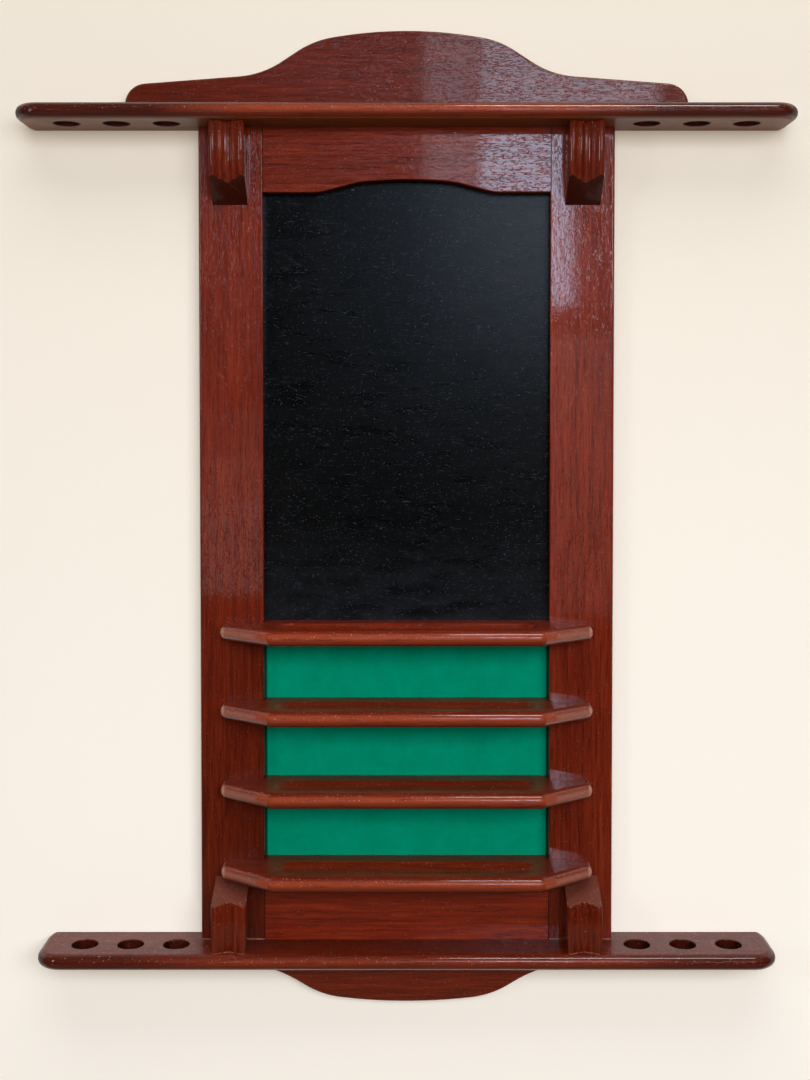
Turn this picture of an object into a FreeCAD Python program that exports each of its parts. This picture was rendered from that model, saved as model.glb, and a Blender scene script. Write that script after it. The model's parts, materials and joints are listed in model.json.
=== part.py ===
import FreeCAD, Part
import math
import os

os.makedirs("parts", exist_ok=True)

# A wall rack for billiard cues and balls, with a blackboard for the score.
#
# The model's frame is in millimetres, with +X to the right as seen from the front, +Y
# into the wall and +Z up. The wall is the plane Y = 0, so every depth in front of the
# wall is a negative Y. The origin lies on the wall, midway between the entry holes of
# the two keyhole hanger plates.

Vector = FreeCAD.Vector

# Frame: two stiles with the head rail and the foot rail between them
stile_width = 78.0
stile_thickness = 25.0
opening_width = 350.0
stile_outer_rounding = 3.0
stile_inner_rounding = 1.2
head_rail_height = 79.2
foot_rail_height = 80.4
rail_face_rounding = 1.5

# Arch in the lower edge of the head rail
arch_rise = 16.0
arch_width_share = 0.6086
arch_shoulder_x_share = 0.554
arch_shoulder_rise = 12.3
arch_crown_vertex_rise = 18.4
arch_foot_radius = 60.0
arch_shoulder_radius = 80.0
arch_crown_radius = 500.0

# Cue rails: long flat boards above and below the frame
cue_rail_thickness = 19.0
cue_rail_depth = 82.0
cue_rail_front_radius = 30.0
cue_rail_back_cut = 10.0
cue_rail_back_cut_width = 2.0
cue_rail_back_radius = 10.0

# Cue holes through the upper rail, and the sockets for the butts in the lower rail
cue_hole_diameter = 32.0
cue_hole_rounding = 1.5
holes_per_side = 3
upper_hole_from_stile = 35.5
upper_hole_pitch = 60.0
upper_hole_from_end = 57.5
lower_hole_from_stile = 28.5
lower_hole_pitch = 56.0
lower_hole_from_end = 53.7
socket_depth = 12.0

# Land left in the middle of every fully rounded edge
nose_land = 0.4

# Ball shelves, numbered from the top
first_shelf_drop = 603.5
shelf_pitches = (96.0, 97.2, 100.1)
shelf_thickness = 19.0
shelf_depth = 99.0
shelf_ear_length = 51.0
shelf_chamfer_width = 64.0
shelf_chamfer_depth_share = 0.68
shelf_front_radius = 12.0
shelf_end_radius = 14.0
shelf_side_clearance = 0.3
groove_from_stile = 16.0
groove_width = 46.0
groove_depth = 7.0
groove_front_land = 19.0

# Crest board above the upper rail
crest_thickness = 19.0
crest_half_length = 343.0
crest_vertex_height = 105.3
crest_shoulder_x = 113.0
crest_shoulder_height = 86.9
crest_hollow_x = 176.0
crest_hollow_height = 45.6
crest_end_height = 33.0
crest_crown_radius = 527.0
crest_shoulder_radius = 110.0
crest_hollow_radius = 110.0
crest_end_radius = 26.0
crest_face_rounding = 3.0

# Apron board below the lower rail
apron_thickness = 19.0
apron_half_length = 213.0
apron_vertex_drop = 66.2
apron_shoulder_x = 104.9
apron_shoulder_drop = 54.0
apron_hollow_x = 166.2
apron_hollow_drop = 17.2
apron_end_drop = 12.5
apron_crown_radius = 690.0
apron_shoulder_radius = 110.0
apron_hollow_radius = 170.0
apron_end_radius = 8.0
apron_face_rounding = 3.0

# Corbels: short lengths of a fluted moulding between the stiles and the cue rails
corbel_width = 42.0
corbel_curve_radius = 160.0
upper_corbel_setback = 14.0
upper_corbel_straight_height = 23.2
upper_corbel_front_height = 64.2
upper_corbel_rear_height = 94.7
lower_corbel_setback = 7.0
lower_corbel_straight_height = 35.0
lower_corbel_front_height = 57.0
lower_corbel_shelf_gap = 1.1
horn_width = 7.2
horn_crown = 2.0
horn_inner_drop = 0.9
ledge_recess = 3.8
ledge_outer_x = 9.8
channel_half_width = 6.4
channel_recess = 7.0

# Panels in the rear rebate of the frame
panel_thickness = 6.0
panel_recess = 1.0
panel_lap = 10.0
panel_clearance = 0.5
panel_rise_above_arch = 10.0
panel_seam_rise = 4.0
baize_thickness = 1.0

# Hanger plates, let into the backs of the stiles
hanger_drop = 41.2
hanger_length = 44.0
hanger_width = 16.0
hanger_thickness = 1.8
hanger_corner_radius = 3.0
keyhole_entry_diameter = 9.5
keyhole_slot_width = 4.6
keyhole_slot_length = 9.0
hanger_screw_spacing = 33.0
hanger_fit = 0.2
head_pocket_width = 12.0
head_pocket_depth = 9.0

# Wood screws: shank diameter, head diameter, head height and length of each size
rail_screw = (5.0, 9.6, 2.8, 60.0)
corbel_screw = (5.0, 9.6, 2.8, 50.0)
ear_screw = (4.0, 7.8, 2.3, 45.0)
shelf_screw = (3.5, 6.8, 2.0, 30.0)
panel_screw = (3.0, 5.8, 1.7, 14.0)
hanger_screw = (3.0, 5.8, 1.5, 16.0)
screw_fit = 0.1
recess_span_share = 0.6
recess_width_share = 0.14
recess_depth_share = 0.7
screw_point_share = 1.2

# Where the screws go
rail_screw_width_shares = (0.325, 0.845)
upper_corbel_screw_from_rail = 8.2
lower_corbel_screw_from_rail = 40.0
ear_screw_from_stile_edge = 25.0
back_screw_x_share = 0.63
panel_screw_end_inset = 33.0

# Dowels that join the boards
dowel_diameter = 8.0
dowel_length = 40.0
dowel_chamfer = 1.0
dowel_fit = 0.1
dowel_end_room = 1.0
frame_dowel_edge_distance = 20.0
board_dowel_length = 28.0
crest_dowel_from_stile = 19.0
crest_dowel_inner_share = 0.5
apron_dowel_share = 0.5
board_dowel_rail_share = 0.6

# Overrun of every cut past the surface it starts from, and the closeness that counts as equal
cut_overrun = 10.0
match = 0.01

# Turns in degrees
quarter_turn = 90.0
full_turn = 360.0

# Levels worked out from the sizes above
stile_top = hanger_drop
shelf_tops = [stile_top - first_shelf_drop]
for pitch in shelf_pitches:
    shelf_tops.append(shelf_tops[-1] - pitch)
foot_rail_top = shelf_tops[-1] - shelf_thickness
stile_bottom = foot_rail_top - foot_rail_height
stile_inner_x = opening_width / 2
stile_outer_x = stile_inner_x + stile_width
stile_centre_x = stile_inner_x + stile_width / 2
arch_half_width = stile_inner_x * arch_width_share
arch_shoulder_x = arch_half_width * arch_shoulder_x_share
cue_hole_depth = cue_rail_depth / 2
upper_hole_first_x = stile_outer_x + upper_hole_from_stile
lower_hole_first_x = stile_outer_x + lower_hole_from_stile
upper_rail_end_x = upper_hole_first_x + (holes_per_side - 1) * upper_hole_pitch + upper_hole_from_end
lower_rail_end_x = lower_hole_first_x + (holes_per_side - 1) * lower_hole_pitch + lower_hole_from_end
shelf_end_x = stile_inner_x + shelf_ear_length
shelf_chamfer_depth = (shelf_depth - stile_thickness) * shelf_chamfer_depth_share
groove_half_length = stile_inner_x - groove_from_stile
groove_centre_depth = shelf_depth - groove_front_land - groove_width / 2
upper_corbel_front_depth = cue_rail_depth - upper_corbel_setback
lower_corbel_front_depth = cue_rail_depth - lower_corbel_setback
back_screw_x = stile_inner_x * back_screw_x_share
crest_dowel_inner_x = stile_inner_x * crest_dowel_inner_share
crest_dowel_outer_x = stile_outer_x + crest_dowel_from_stile
crest_dowel_xs = (-crest_dowel_outer_x, -crest_dowel_inner_x, crest_dowel_inner_x, crest_dowel_outer_x)
apron_dowel_x = apron_half_length * apron_dowel_share
upper_rail_top = stile_top + cue_rail_thickness
lower_rail_bottom = stile_bottom - cue_rail_thickness
rebate_depth = panel_recess + panel_thickness
lower_corbel_rear_height = foot_rail_height - lower_corbel_shelf_gap
head_rail_bottom = stile_top - head_rail_height
panel_top = head_rail_bottom + arch_rise + panel_rise_above_arch
panel_bottom = foot_rail_top - panel_lap
panel_seam = shelf_tops[0] - shelf_thickness + panel_seam_rise
panel_half_width = stile_inner_x + panel_lap - panel_clearance
panel_span = (-panel_half_width, panel_half_width)
cloth_back = rebate_depth - baize_thickness
frame_mid_depth = stile_thickness / 2
panel_lap_x = stile_inner_x + panel_lap / 2

FORWARD = Vector(0, -1, 0)
UP = Vector(0, 0, 1)
DOWN = Vector(0, 0, -1)
RIGHT = Vector(1, 0, 0)
SIDES = (-1, 1)


# Outlines

def corner_reaches(points, half_angles, radii):
    """How far each corner's arc reaches along its sides, less where a side is too short for two."""
    reaches = [radius / math.tan(half_angle) for radius, half_angle in zip(radii, half_angles)]
    fitting = list(reaches)
    for index, point in enumerate(points):
        side = point.distanceToPoint(points[index - 1])
        wanted = reaches[index - 1] + reaches[index]
        if wanted > side:
            for corner in (index - 1, index):
                fitting[corner] = min(fitting[corner], reaches[corner] * side / wanted)
    return fitting


def rounded_wire(corners):
    """Closed wire through (point, radius) corners, with a tangent arc where a radius is set."""
    points = [point for point, radius in corners]
    radii = [radius for point, radius in corners]
    to_last = [(points[index - 1] - point).normalize() for index, point in enumerate(points)]
    to_next = [-to_last[(index + 1) % len(points)] for index in range(len(points))]
    half_angles = [last.getAngle(following) / 2 for last, following in zip(to_last, to_next)]
    reaches = corner_reaches(points, half_angles, radii)
    edges = []
    for index, (point, reach, half_angle) in enumerate(zip(points, reaches, half_angles)):
        arc_start = point + to_last[index] * reach
        last_end = points[index - 1] + to_next[index - 1] * reaches[index - 1]
        if last_end.distanceToPoint(arc_start) > match:
            edges.append(Part.LineSegment(last_end, arc_start).toShape())
        if reach > 0:
            radius = reach * math.tan(half_angle)
            middle = (to_last[index] + to_next[index]).normalize()
            summit = point + middle * (radius / math.sin(half_angle) - radius)
            edges.append(Part.Arc(arc_start, summit, point + to_next[index] * reach).toShape())
    return Part.Wire(Part.__sortEdges__(edges))


def both_sides(right_half):
    """Corners of a symmetrical outline, from the corners of its right half in order."""
    left_half = [(-x, other, radius) for x, other, radius in reversed(right_half) if x != 0]
    return right_half + left_half


def flat_board(corners, bottom, thickness):
    """Board lying level: an outline in X and depth, thickened upwards."""
    wire = rounded_wire([(Vector(x, -depth, bottom), radius) for x, depth, radius in corners])
    return Part.Face(wire).extrude(UP * thickness)


def upright_board(corners, back_depth, thickness):
    """Board standing along the wall: an outline in X and Z, thickened forwards."""
    wire = rounded_wire([(Vector(x, -back_depth, z), radius) for x, z, radius in corners])
    return Part.Face(wire).extrude(FORWARD * thickness)


def block(x_range, depth_range, z_range):
    """Box between two values each of X, depth from the wall, and Z."""
    low_x, high_x = sorted(x_range)
    low_depth, high_depth = sorted(depth_range)
    low_z, high_z = sorted(z_range)
    corner = Vector(low_x, -high_depth, low_z)
    return Part.makeBox(high_x - low_x, high_depth - low_depth, high_z - low_z, corner)


# Edges to round

def level_edges(board, level, from_depth):
    """Edges at one height that lie further from the wall than from_depth."""
    chosen = []
    for edge in board.Edges:
        box = edge.BoundBox
        is_level = abs(box.ZMin - level) < match and abs(box.ZMax - level) < match
        if is_level and -edge.CenterOfMass.y > from_depth + match:
            chosen.append(edge)
    return chosen


def with_full_nose(board, bottom, thickness, from_depth):
    """Board with its front and ends fully rounded, beyond the depth where it is seated."""
    edges = level_edges(board, bottom, from_depth)
    edges += level_edges(board, bottom + thickness, from_depth)
    return board.makeFillet((thickness - nose_land) / 2, edges)


def face_edges(board, depth, skip_level):
    """Edges of the front face at one depth, but for those that lie at skip_level."""
    chosen = []
    for edge in board.Edges:
        box = edge.BoundBox
        in_face = abs(box.YMin + depth) < match and abs(box.YMax + depth) < match
        on_seat = abs(box.ZMin - skip_level) < match and abs(box.ZMax - skip_level) < match
        if in_face and not on_seat:
            chosen.append(edge)
    return chosen


def with_rounded_rims(board, radius, rounding, level):
    """Board with the rims of its holes of one radius rounded at one height."""
    rims = []
    for edge in board.Edges:
        is_round = isinstance(edge.Curve, Part.Circle) and abs(edge.Curve.Radius - radius) < match
        if is_round and abs(edge.CenterOfMass.z - level) < match:
            rims.append(edge)
    return board.makeFillet(rounding, rims)


# Screws and dowels

def screw_body(size, fit):
    """Countersunk screw shape driven downwards, with the top of its head at the origin."""
    shank, head, head_height, length = size
    point_length = shank * screw_point_share
    profile = [
        Vector(0, 0, 0),
        Vector(head / 2 + fit, 0, 0),
        Vector(shank / 2 + fit, 0, -head_height),
        Vector(shank / 2 + fit, 0, point_length - length),
        Vector(0, 0, -length - fit),
    ]
    face = Part.Face(Part.makePolygon(profile + [profile[0]]))
    return face.revolve(Vector(0, 0, 0), UP, full_turn)


def wood_screw(size):
    """Countersunk screw with a cross recess in its head."""
    head_diameter, head_height = size[1], size[2]
    span = head_diameter * recess_span_share
    width = head_diameter * recess_width_share
    depth = head_height * recess_depth_share
    bar = Part.makeBox(span, width, depth + cut_overrun, Vector(-span / 2, -width / 2, -depth))
    other_bar = bar.copy()
    other_bar.rotate(Vector(0, 0, 0), UP, quarter_turn)
    return screw_body(size, 0).cut(bar.fuse(other_bar))


def driven(shape, position, direction):
    """Copy of a shape made pointing down, moved to a place and turned to a direction."""
    moved = shape.copy()
    moved.Placement = FreeCAD.Placement(position, FreeCAD.Rotation(DOWN, direction))
    return moved


def dowel(start, direction, length):
    """Wooden dowel with chamfered ends, from its start along a direction."""
    pin = Part.makeCylinder(dowel_diameter / 2, length, start, direction)
    rims = [edge for edge in pin.Edges if isinstance(edge.Curve, Part.Circle)]
    return pin.makeChamfer(dowel_chamfer, rims)


def dowel_bore(start, direction, length):
    """Hole for a dowel, with room all round it and past both of its ends."""
    low = start - direction * dowel_end_room
    return Part.makeCylinder(dowel_diameter / 2 + dowel_fit, length + 2 * dowel_end_room, low, direction)


def cut_all(body, cutters):
    """Body less every cutter that reaches it."""
    near = [cutter for cutter in cutters if cutter.BoundBox.intersect(body.BoundBox)]
    return body.cut(near) if near else body


# Places of the screws and dowels

def frame_dowel_places():
    """Start and direction of each dowel between a stile and the head or foot rail."""
    heights = [
        stile_top - frame_dowel_edge_distance,
        head_rail_bottom + frame_dowel_edge_distance,
        foot_rail_top - frame_dowel_edge_distance,
        stile_bottom + frame_dowel_edge_distance,
    ]
    places = []
    for side in SIDES:
        for height in heights:
            start_x = side * (stile_inner_x - dowel_length / 2)
            places.append((Vector(start_x, -frame_mid_depth, height), RIGHT * side, dowel_length))
    return places


def board_dowel_places(xs, mid_depth, rail_face, direction):
    """Dowels from inside a cue rail into a board that stands on its face."""
    in_rail = cue_rail_thickness * board_dowel_rail_share
    middle = Vector(0, -mid_depth, rail_face) - direction * in_rail
    return [(middle + RIGHT * x, direction, board_dowel_length) for x in xs]


def rail_screw_places(outer_face, direction):
    """Screws through a cue rail into the ends of the stiles."""
    places = []
    for side in SIDES:
        for share in rail_screw_width_shares:
            x = side * (stile_inner_x + stile_width * share)
            places.append((Vector(x, -frame_mid_depth, outer_face), direction))
    return places


def corbel_screw_places():
    """Screws from behind, through the stiles and into the corbels."""
    heights = (stile_top - upper_corbel_screw_from_rail, stile_bottom + lower_corbel_screw_from_rail)
    return [(Vector(side * stile_centre_x, 0, z), FORWARD) for side in SIDES for z in heights]


def ear_screw_places():
    """Screws from behind, through the stiles and into the ears of the shelves."""
    x = stile_inner_x + ear_screw_from_stile_edge
    middles = [top - shelf_thickness / 2 for top in shelf_tops]
    return [(Vector(side * x, 0, z), FORWARD) for side in SIDES for z in middles]


def shelf_screw_places():
    """Screws from behind, through the panels and into the rear edges of the shelves."""
    xs = (-back_screw_x, 0, back_screw_x)
    middles = [top - shelf_thickness / 2 for top in shelf_tops]
    return [(Vector(x, -panel_recess, z), FORWARD) for z in middles for x in xs]


def panel_screw_places():
    """Screws round the edges of the two panels, into the shoulders of the rebate."""
    blackboard_middle = (panel_top + panel_seam) / 2
    side_heights = (
        head_rail_bottom - panel_screw_end_inset,
        blackboard_middle,
        panel_seam + panel_screw_end_inset,
        panel_seam - panel_screw_end_inset,
        foot_rail_top + panel_screw_end_inset,
    )
    end_heights = (panel_top - panel_lap, foot_rail_top - panel_lap / 2)
    places = [(side * panel_lap_x, z) for side in SIDES for z in side_heights]
    places += [(side * back_screw_x, z) for side in SIDES for z in end_heights]
    return [(Vector(x, -panel_recess, z), FORWARD) for x, z in places]


def hanger_screw_places():
    """Two screws through each hanger plate."""
    middle = keyhole_slot_length / 2
    heights = (middle - hanger_screw_spacing / 2, middle + hanger_screw_spacing / 2)
    return [(Vector(side * stile_centre_x, 0, z), FORWARD) for side in SIDES for z in heights]


SCREWS = {
    "upper_rail_screws": (rail_screw, rail_screw_places(upper_rail_top, DOWN)),
    "lower_rail_screws": (rail_screw, rail_screw_places(lower_rail_bottom, UP)),
    "corbel_screws": (corbel_screw, corbel_screw_places()),
    "shelf_ear_screws": (ear_screw, ear_screw_places()),
    "shelf_back_screws": (shelf_screw, shelf_screw_places()),
    "panel_screws": (panel_screw, panel_screw_places()),
    "hanger_screws": (hanger_screw, hanger_screw_places()),
}
DOWELS = {
    "frame_dowels": frame_dowel_places(),
    "crest_dowels": board_dowel_places(crest_dowel_xs, crest_thickness / 2, upper_rail_top, UP),
    "apron_dowels": board_dowel_places(
        (-apron_dowel_x, 0, apron_dowel_x), apron_thickness / 2, lower_rail_bottom, DOWN),
}


def all_bores():
    """Every screw hole and dowel hole, as cutters."""
    bores = []
    for size, places in SCREWS.values():
        tool = screw_body(size, screw_fit)
        bores += [driven(tool, position, direction) for position, direction in places]
    for places in DOWELS.values():
        bores += [dowel_bore(*place) for place in places]
    return bores


# Frame boards

def hanger_outline(x, fit):
    """Corners of a hanger plate, or of its seat, which is larger all round by the fit."""
    half_width = hanger_width / 2 + fit
    half_length = hanger_length / 2 + fit
    middle = keyhole_slot_length / 2
    radius = hanger_corner_radius + fit
    return [
        (x - half_width, middle - half_length, radius),
        (x + half_width, middle - half_length, radius),
        (x + half_width, middle + half_length, radius),
        (x - half_width, middle + half_length, radius),
    ]


def hanger_recess(x):
    """Shallow seat for a hanger plate, with the deeper pocket for the wall screw's head."""
    seat = upright_board(hanger_outline(x, hanger_fit), -cut_overrun, cut_overrun + hanger_thickness)
    pocket_radius = head_pocket_width / 2
    pocket_span = cut_overrun + head_pocket_depth
    start = Vector(x, cut_overrun, 0)
    low_end = Part.makeCylinder(pocket_radius, pocket_span, start, FORWARD)
    high_end = Part.makeCylinder(pocket_radius, pocket_span, start + UP * keyhole_slot_length, FORWARD)
    middle_block = block((x - pocket_radius, x + pocket_radius), (-cut_overrun, head_pocket_depth),
                         (0, keyhole_slot_length))
    return seat.fuse([low_end, high_end, middle_block])


def stile(side):
    """One upright of the frame, with its rear rebate and the seat for its hanger plate."""
    inner_x, outer_x = side * stile_inner_x, side * stile_outer_x
    board = block((inner_x, outer_x), (0, stile_thickness), (stile_bottom, stile_top))
    for x, rounding in ((outer_x, stile_outer_rounding), (inner_x, stile_inner_rounding)):
        corner = Vector(x, -stile_thickness, (stile_top + stile_bottom) / 2)
        arris = [edge for edge in board.Edges if edge.CenterOfMass.distanceToPoint(corner) < match]
        board = board.makeFillet(rounding, arris)
    rebate_x = (side * (stile_inner_x - cut_overrun), side * (stile_inner_x + panel_lap))
    rebate_z = (panel_bottom - panel_clearance, panel_top + panel_clearance)
    rebate = block(rebate_x, (-cut_overrun, rebate_depth), rebate_z)
    return board.cut([rebate, hanger_recess(side * stile_centre_x)])


def head_rail():
    """Rail across the top of the frame, with an arched lower edge."""
    base = head_rail_bottom
    right_half = [
        (stile_inner_x, stile_top, 0),
        (stile_inner_x, base, 0),
        (arch_half_width, base, arch_foot_radius),
        (arch_shoulder_x, base + arch_shoulder_rise, arch_shoulder_radius),
        (0, base + arch_crown_vertex_rise, arch_crown_radius),
    ]
    board = upright_board(both_sides(right_half), 0, stile_thickness)
    front_edges = face_edges(board, stile_thickness, stile_top)
    arch_edges = [edge for edge in front_edges if edge.BoundBox.XLength > match]
    board = board.makeFillet(rail_face_rounding, arch_edges)
    rebate_x = (-stile_inner_x - cut_overrun, stile_inner_x + cut_overrun)
    rebate_z = (base - cut_overrun, panel_top + panel_clearance)
    return board.cut(block(rebate_x, (-cut_overrun, rebate_depth), rebate_z))


def foot_rail():
    """Rail across the foot of the frame, under the lowest shelf."""
    board = block((-stile_inner_x, stile_inner_x), (0, stile_thickness), (stile_bottom, foot_rail_top))
    rebate_x = (-stile_inner_x - cut_overrun, stile_inner_x + cut_overrun)
    rebate_z = (panel_bottom - panel_clearance, foot_rail_top + cut_overrun)
    return board.cut(block(rebate_x, (-cut_overrun, rebate_depth), rebate_z))


# Cue rails and the boards on them

def cue_hole_xs(first_x, hole_pitch):
    """X of each cue hole, from the left end to the right end."""
    right = [first_x + hole_pitch * index for index in range(holes_per_side)]
    return [-x for x in reversed(right)] + right


def cue_rail(end_x, bottom):
    """Plain cue rail, fully rounded along its front and round its ends."""
    right_half = [
        (end_x - cue_rail_back_cut_width, 0, 0),
        (end_x, cue_rail_back_cut, cue_rail_back_radius),
        (end_x, cue_rail_depth, cue_rail_front_radius),
    ]
    board = flat_board(both_sides(right_half), bottom, cue_rail_thickness)
    return with_full_nose(board, bottom, cue_rail_thickness, 0)


def upper_cue_rail():
    """Upper rail, with holes that the cues pass through."""
    board = cue_rail(upper_rail_end_x, stile_top)
    radius = cue_hole_diameter / 2
    for x in cue_hole_xs(upper_hole_first_x, upper_hole_pitch):
        foot = Vector(x, -cue_hole_depth, stile_top - cut_overrun)
        board = board.cut(Part.makeCylinder(radius, cue_rail_thickness + 2 * cut_overrun, foot, UP))
    board = with_rounded_rims(board, radius, cue_hole_rounding, stile_top)
    return with_rounded_rims(board, radius, cue_hole_rounding, upper_rail_top)


def lower_cue_rail():
    """Lower rail, with blind sockets that the butts of the cues stand in."""
    board = cue_rail(lower_rail_end_x, lower_rail_bottom)
    radius = cue_hole_diameter / 2
    for x in cue_hole_xs(lower_hole_first_x, lower_hole_pitch):
        floor = Vector(x, -cue_hole_depth, stile_bottom - socket_depth)
        board = board.cut(Part.makeCylinder(radius, socket_depth + cut_overrun, floor, UP))
    return with_rounded_rims(board, radius, cue_hole_rounding, stile_bottom)


def crest_board():
    """Board with a swept crown that stands on the upper rail, against the wall."""
    base = upper_rail_top
    right_half = [
        (crest_half_length, base, 0),
        (crest_half_length, base + crest_end_height, crest_end_radius),
        (crest_hollow_x, base + crest_hollow_height, crest_hollow_radius),
        (crest_shoulder_x, base + crest_shoulder_height, crest_shoulder_radius),
        (0, base + crest_vertex_height, crest_crown_radius),
    ]
    board = upright_board(both_sides(right_half), 0, crest_thickness)
    return board.makeFillet(crest_face_rounding, face_edges(board, crest_thickness, base))


def apron_board():
    """Board with a shallow bow that hangs under the lower rail, against the wall."""
    base = lower_rail_bottom
    right_half = [
        (apron_half_length, base, 0),
        (apron_half_length, base - apron_end_drop, apron_end_radius),
        (apron_hollow_x, base - apron_hollow_drop, apron_hollow_radius),
        (apron_shoulder_x, base - apron_shoulder_drop, apron_shoulder_radius),
        (0, base - apron_vertex_drop, apron_crown_radius),
    ]
    board = upright_board(both_sides(right_half), 0, apron_thickness)
    return board.makeFillet(apron_face_rounding, face_edges(board, apron_thickness, base))


# Ball shelves

def groove_cutter(top):
    """Round-bottomed groove with rounded ends, which a row of balls lies in."""
    half_width = groove_width / 2
    sweep_radius = (half_width ** 2 + groove_depth ** 2) / (2 * groove_depth)
    half_sweep = math.asin(half_width / sweep_radius)
    end_x = groove_half_length - half_width
    rise = Vector(0, 0, cut_overrun)
    sweep_centre = Vector(-end_x, -groove_centre_depth, top - groove_depth + sweep_radius)

    def on_arc(turn):
        """Point of the groove's section, by its angle from the lowest point."""
        return sweep_centre + Vector(0, -math.sin(turn), -math.cos(turn)) * sweep_radius

    back, lowest, front = on_arc(-half_sweep), on_arc(0), on_arc(half_sweep)
    section = Part.Wire([
        Part.Arc(back, lowest, front).toShape(),
        Part.makePolygon([front, front + rise, back + rise, back]),
    ])
    straight = Part.Face(section).extrude(RIGHT * (2 * end_x))
    lid = Vector(lowest.x, lowest.y, front.z) + rise
    half_section = Part.Wire([
        Part.Arc(lowest, on_arc(half_sweep / 2), front).toShape(),
        Part.makePolygon([front, front + rise, lid, lowest]),
    ])
    left_end = Part.Face(half_section).revolve(lowest, UP, full_turn)
    right_end = left_end.copy()
    right_end.translate(RIGHT * (2 * end_x))
    return straight.fuse([left_end, right_end])


def ball_shelf(top):
    """Grooved shelf, notched round the stiles so that its ears lie on their faces."""
    neck_x = stile_inner_x - shelf_side_clearance
    right_half = [
        (neck_x, rebate_depth, 0),
        (neck_x, stile_thickness, 0),
        (shelf_end_x, stile_thickness, 0),
        (shelf_end_x, shelf_depth - shelf_chamfer_depth, shelf_end_radius),
        (shelf_end_x - shelf_chamfer_width, shelf_depth, shelf_front_radius),
    ]
    bottom = top - shelf_thickness
    board = flat_board(both_sides(right_half), bottom, shelf_thickness)
    board = with_full_nose(board, bottom, shelf_thickness, stile_thickness)
    return board.cut(groove_cutter(top))


# Corbels

def corbel_section(front_depth, back_depth):
    """Plan of the fluted moulding as a level face at the height zero."""
    half = corbel_width / 2
    horn_inner_x = half - horn_width
    horn_middle_x = half - horn_width / 2

    def at(x, recess):
        """Point at a distance behind the front of the moulding."""
        return Vector(x, recess - front_depth, 0)

    def horn(side):
        """Arc over one of the two outer ribs, from its outer edge to its inner edge."""
        outer = at(side * half, horn_crown)
        inner = at(side * horn_inner_x, horn_inner_drop)
        return Part.Arc(outer, at(side * horn_middle_x, 0), inner).toShape()

    edges = [
        Part.makeLine(at(-half, front_depth - back_depth), at(-half, horn_crown)),
        horn(-1),
        Part.makeLine(at(-horn_inner_x, horn_inner_drop), at(-ledge_outer_x, ledge_recess)),
        Part.makeLine(at(-ledge_outer_x, ledge_recess), at(-channel_half_width, ledge_recess)),
        Part.Arc(at(-channel_half_width, ledge_recess), at(0, channel_recess),
                 at(channel_half_width, ledge_recess)).toShape(),
        Part.makeLine(at(channel_half_width, ledge_recess), at(ledge_outer_x, ledge_recess)),
        Part.makeLine(at(ledge_outer_x, ledge_recess), at(horn_inner_x, horn_inner_drop)),
        horn(1),
        Part.makeLine(at(half, horn_crown), at(half, front_depth - back_depth)),
        Part.makeLine(at(half, front_depth - back_depth), at(-half, front_depth - back_depth)),
    ]
    return Part.Face(Part.Wire(Part.__sortEdges__(edges)))


def front_depth_at(front_depth, straight_height, height):
    """Depth of a corbel's front at a height on its curved part."""
    rise = max(height - straight_height, 0)
    return front_depth - corbel_curve_radius + math.sqrt(corbel_curve_radius ** 2 - rise ** 2)


def corbel(front_depth, straight_height, front_height, rear_height):
    """Corbel standing on the height zero: straight at its foot, curved back, cut on a slant."""
    axis_depth = front_depth - corbel_curve_radius
    straight = corbel_section(front_depth, stile_thickness).extrude(UP * straight_height)
    curved = corbel_section(front_depth, axis_depth)
    curved.translate(UP * straight_height)
    curved = curved.revolve(Vector(0, -axis_depth, straight_height), Vector(-1, 0, 0), quarter_turn)
    half = corbel_width / 2 + cut_overrun
    far_depth = front_depth + cut_overrun
    keep = block((-half, half), (stile_thickness, far_depth), (0, rear_height + cut_overrun))
    body = straight.fuse(curved.common(keep)).removeSplitter()
    run = front_depth_at(front_depth, straight_height, front_height) - stile_thickness
    slope = (rear_height - front_height) / run
    low_end = Vector(-half, -far_depth, rear_height - slope * (far_depth - stile_thickness))
    high_end = Vector(-half, cut_overrun - stile_thickness, rear_height + slope * cut_overrun)
    lid = rear_height + front_depth
    slant = Part.Face(Part.makePolygon([
        low_end, high_end, Vector(-half, high_end.y, lid), Vector(-half, low_end.y, lid), low_end,
    ]))
    return body.cut(slant.extrude(RIGHT * (2 * half)))


def upper_corbel(side):
    """Corbel hanging under the upper rail, on one stile."""
    body = corbel(upper_corbel_front_depth, upper_corbel_straight_height,
                  upper_corbel_front_height, upper_corbel_rear_height)
    body = body.mirror(Vector(0, 0, 0), UP)
    body.translate(Vector(side * stile_centre_x, 0, stile_top))
    return body


def lower_corbel(side):
    """Corbel standing on the lower rail, on one stile."""
    body = corbel(lower_corbel_front_depth, lower_corbel_straight_height,
                  lower_corbel_front_height, lower_corbel_rear_height)
    body.translate(Vector(side * stile_centre_x, 0, stile_bottom))
    return body


# Panels and hangers

def blackboard_panel():
    """Painted writing panel behind the upper part of the opening."""
    return block(panel_span, (panel_recess, rebate_depth), (panel_seam, panel_top))


def baize_board():
    """Board behind the shelves, which the baize is glued to."""
    return block(panel_span, (panel_recess, cloth_back), (panel_bottom, panel_seam))


def baize_cloth():
    """Cloth on the front of its board."""
    return block(panel_span, (cloth_back, rebate_depth), (panel_bottom, panel_seam))


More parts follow.
